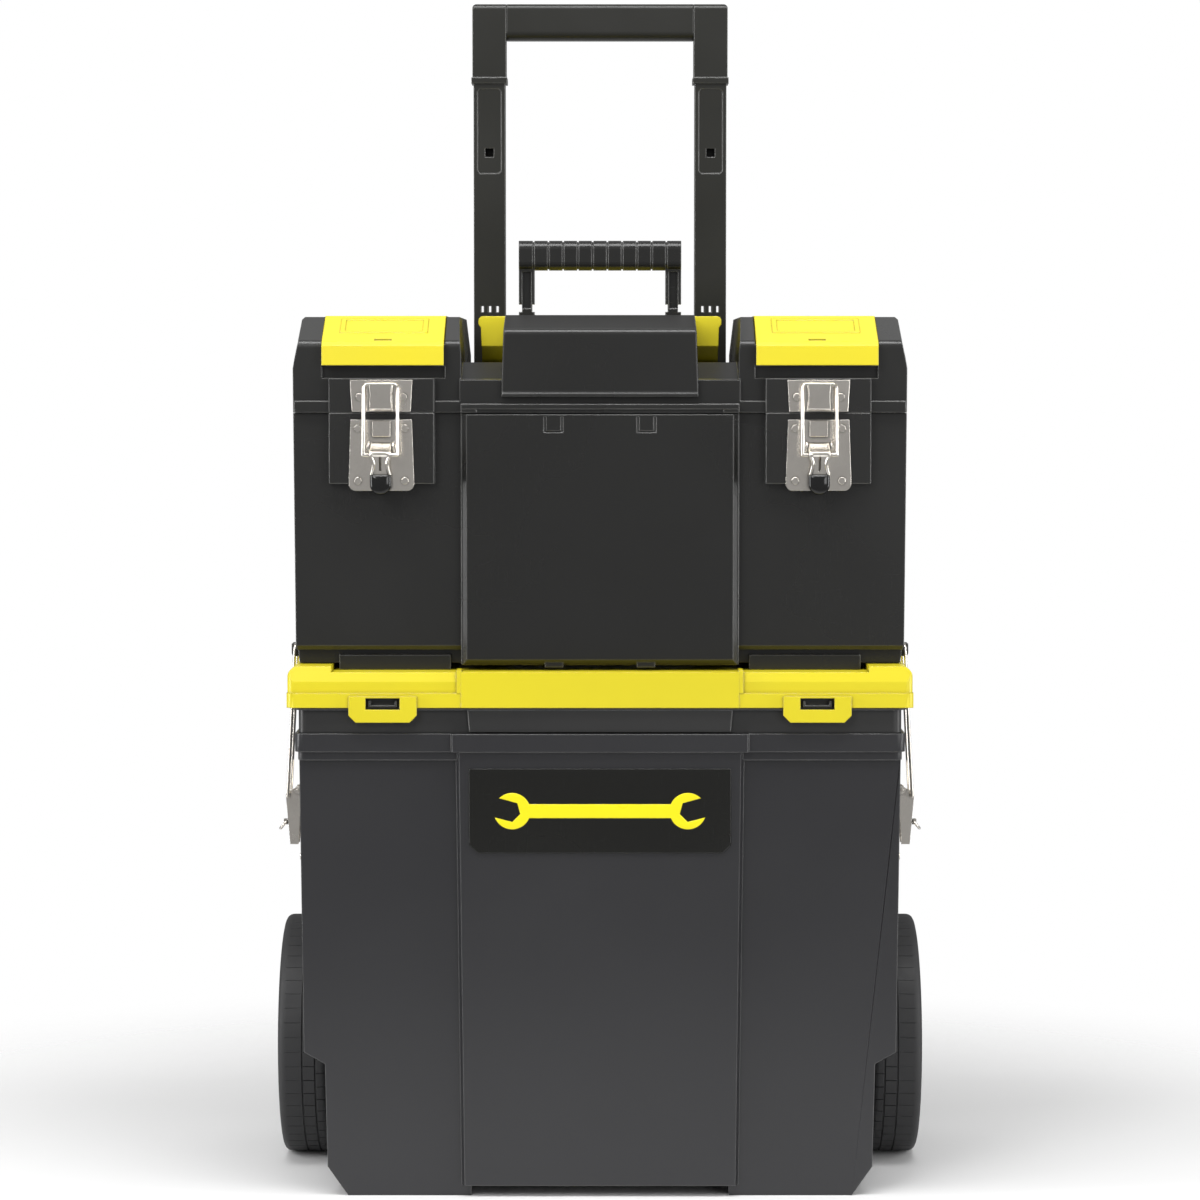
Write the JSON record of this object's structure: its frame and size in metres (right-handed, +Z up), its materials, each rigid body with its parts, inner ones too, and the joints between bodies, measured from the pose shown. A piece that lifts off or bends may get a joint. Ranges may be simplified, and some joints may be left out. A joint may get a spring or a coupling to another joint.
{
  "type": "rolling tool box",
  "caption": "Wheeled plastic bin with a shallow lidded tray and a latched tool box stacked on it, and a telescopic pull handle behind.",
  "frame": {"origin": "on the floor, midway across and midway front to back of the whole object at rest", "axes": "+X to the right seen from the front, +Y from the front to the pull handle behind, +Z up"},
  "size_m": [0.474, 0.2836, 0.866],
  "materials": {
    "bin_plastic": "moulded, satin",
    "box_plastic": "moulded, fine texture",
    "panel_plastic": "semi-gloss",
    "tray_plastic": "moulded, satin",
    "tote_plastic": "moulded, satin",
    "handle_plastic": "moulded, satin",
    "grip_plastic": "ribbed, satin",
    "yellow_plastic": "moulded, satin gloss",
    "label_black": "smooth film",
    "label_yellow": "printed",
    "wheel_plastic": "moulded",
    "tyre": "moulded rubber",
    "tip_plastic": "dipped",
    "latch_steel": "nickel plated",
    "zinc_steel": "zinc plated"
  },
  "bodies": {
    "root": {"bin_shell": "bin_plastic", "bin_label": "label_black", "label_emblem": "label_yellow", "axle": "zinc_steel", "axle_spacers": "zinc_steel", "guide_left": "handle_plastic", "guide_right": "handle_plastic", "guide_screws": "zinc_steel", "side_base_left": "latch_steel", "side_base_right": "latch_steel", "side_rivets": "latch_steel", "side_pins": "latch_steel"},
    "wheel_left": {"wheel_hub_left": "wheel_plastic", "tyre_left": "tyre", "hub_cap_left": "wheel_plastic"},
    "wheel_right": {"wheel_hub_right": "wheel_plastic", "tyre_right": "tyre", "hub_cap_right": "wheel_plastic"},
    "pull_handle": {"handle_tube_left": "handle_plastic", "handle_tube_right": "handle_plastic", "tube_foot_left": "handle_plastic", "tube_foot_right": "handle_plastic", "grip_corner_left": "handle_plastic", "grip_corner_right": "handle_plastic", "grip_bar": "handle_plastic"},
    "tray": {"tray_body": "tray_plastic"},
    "tray_cover": {"tray_lid": "yellow_plastic"},
    "tool_box": {"box_shell": "box_plastic", "box_front_panel": "panel_plastic", "latch_base_left": "latch_steel", "latch_base_right": "latch_steel", "latch_rivets": "latch_steel", "latch_pins": "latch_steel", "lid_hinge_pins": "zinc_steel"},
    "tote": {"tote_tray": "tote_plastic"},
    "lid": {"lid_shell": "box_plastic", "lid_front_cover": "panel_plastic", "handle_cradle": "yellow_plastic", "carry_handle_pins": "zinc_steel", "organiser_pins": "zinc_steel", "catch_plate_left": "latch_steel", "catch_plate_right": "latch_steel", "catch_rivets": "latch_steel"},
    "organiser_left": {"organiser_lid_left": "yellow_plastic"},
    "organiser_right": {"organiser_lid_right": "yellow_plastic"},
    "carry_grip": {"carry_handle": "grip_plastic"},
    "front_lever_left": {"latch_lever_left": "latch_steel", "latch_tip_left": "tip_plastic"},
    "front_lever_right": {"latch_lever_right": "latch_steel", "latch_tip_right": "tip_plastic"},
    "front_bail_left": {"latch_bail_left": "latch_steel"},
    "front_bail_right": {"latch_bail_right": "latch_steel"},
    "side_lever_body_left": {"side_lever_left": "latch_steel"},
    "side_lever_body_right": {"side_lever_right": "latch_steel"},
    "side_bail_body_left": {"side_bail_left": "latch_steel"},
    "side_bail_body_right": {"side_bail_right": "latch_steel"},
    "ring_left": {"side_ring_left": "latch_steel"},
    "ring_right": {"side_ring_right": "latch_steel"}
  },
  "joints": [
    {"name": "wheel_left_spin", "type": "hinge", "parent": "root", "child": "wheel_left", "pos_m": [-0.2185, 0.05276, 0.089], "axis": [1, 0, 0], "continuous": true},
    {"name": "wheel_right_spin", "type": "hinge", "parent": "root", "child": "wheel_right", "pos_m": [0.2185, 0.05276, 0.089], "axis": [1, 0, 0], "continuous": true},
    {"name": "pull_slide", "type": "slide", "parent": "root", "child": "pull_handle", "axis": [0, 0, 1], "range_m": [-0.232, 0]},
    {"name": "tray_lift", "type": "slide", "parent": "root", "child": "tray", "axis": [0, 0, -1], "range_m": [-0.07, 0]},
    {"name": "tray_lid_lift", "type": "slide", "parent": "tray", "child": "tray_cover", "axis": [0, 0, -1], "range_m": [-0.06, 0]},
    {"name": "box_lift", "type": "slide", "parent": "tray_cover", "child": "tool_box", "axis": [0, 0, -1], "range_m": [-0.09, 0]},
    {"name": "tote_lift", "type": "slide", "parent": "tool_box", "child": "tote", "axis": [0, 0, -1], "range_m": [-0.012, 0]},
    {"name": "lid_hinge", "type": "hinge", "parent": "tool_box", "child": "lid", "pos_m": [0, 0.09576, 0.55885], "axis": [-1, 0, 0], "range_deg": [0, 50]},
    {"name": "organiser_left_hinge", "type": "hinge", "parent": "lid", "child": "organiser_left", "pos_m": [-0.153, 0.01276, 0.6246], "axis": [-1, 0, 0], "range_deg": [0, 100]},
    {"name": "organiser_right_hinge", "type": "hinge", "parent": "lid", "child": "organiser_right", "pos_m": [0.153, 0.01276, 0.6246], "axis": [-1, 0, 0], "range_deg": [0, 100]},
    {"name": "carry_fold", "type": "hinge", "parent": "lid", "child": "carry_grip", "pos_m": [0, 0.00076, 0.6185], "axis": [-1, 0, 0], "range_deg": [0, 90]},
    {"name": "front_lever_left_hinge", "type": "hinge", "parent": "tool_box", "child": "front_lever_left", "pos_m": [-0.154, -0.12924, 0.535], "axis": [-1, 0, 0], "range_deg": [0, 115]},
    {"name": "front_bail_left_hinge", "type": "hinge", "parent": "front_lever_left", "child": "front_bail_left", "pos_m": [-0.154, -0.13876, 0.5295], "axis": [-1, 0, 0], "range_deg": [-149.5, 0]},
    {"name": "front_lever_right_hinge", "type": "hinge", "parent": "tool_box", "child": "front_lever_right", "pos_m": [0.154, -0.12924, 0.535], "axis": [-1, 0, 0], "range_deg": [0, 115]},
    {"name": "front_bail_right_hinge", "type": "hinge", "parent": "front_lever_right", "child": "front_bail_right", "pos_m": [0.154, -0.13876, 0.5295], "axis": [-1, 0, 0], "range_deg": [-149.5, 0]},
    {"name": "side_lever_left_hinge", "type": "hinge", "parent": "root", "child": "side_lever_body_left", "pos_m": [-0.2207, -0.03224, 0.283], "axis": [0, 1, 0], "range_deg": [0, 115]},
    {"name": "side_bail_left_hinge", "type": "hinge", "parent": "side_lever_body_left", "child": "side_bail_body_left", "pos_m": [-0.22737, -0.03224, 0.27915], "axis": [0, 1, 0], "range_deg": [-149.5, 0]},
    {"name": "side_ring_left_hinge", "type": "hinge", "parent": "side_lever_body_left", "child": "ring_left", "pos_m": [-0.2297, -0.03224, 0.259], "axis": [0, 1, 0], "range_deg": [0, 100]},
    {"name": "side_lever_right_hinge", "type": "hinge", "parent": "root", "child": "side_lever_body_right", "pos_m": [0.2207, -0.03224, 0.283], "axis": [0, -1, 0], "range_deg": [0, 115]},
    {"name": "side_bail_right_hinge", "type": "hinge", "parent": "side_lever_body_right", "child": "side_bail_body_right", "pos_m": [0.22737, -0.03224, 0.27915], "axis": [0, -1, 0], "range_deg": [-149.5, 0]},
    {"name": "side_ring_right_hinge", "type": "hinge", "parent": "side_lever_body_right", "child": "ring_right", "pos_m": [0.2297, -0.03224, 0.259], "axis": [0, -1, 0], "range_deg": [0, 100]}
  ],
  "couplings": [
    {"joint": "front_bail_left_hinge", "follows": "front_lever_left_hinge", "ratio": -1.3},
    {"joint": "front_bail_right_hinge", "follows": "front_lever_right_hinge", "ratio": -1.3},
    {"joint": "side_bail_left_hinge", "follows": "side_lever_left_hinge", "ratio": -1.3},
    {"joint": "side_bail_right_hinge", "follows": "side_lever_right_hinge", "ratio": -1.3}
  ]
}
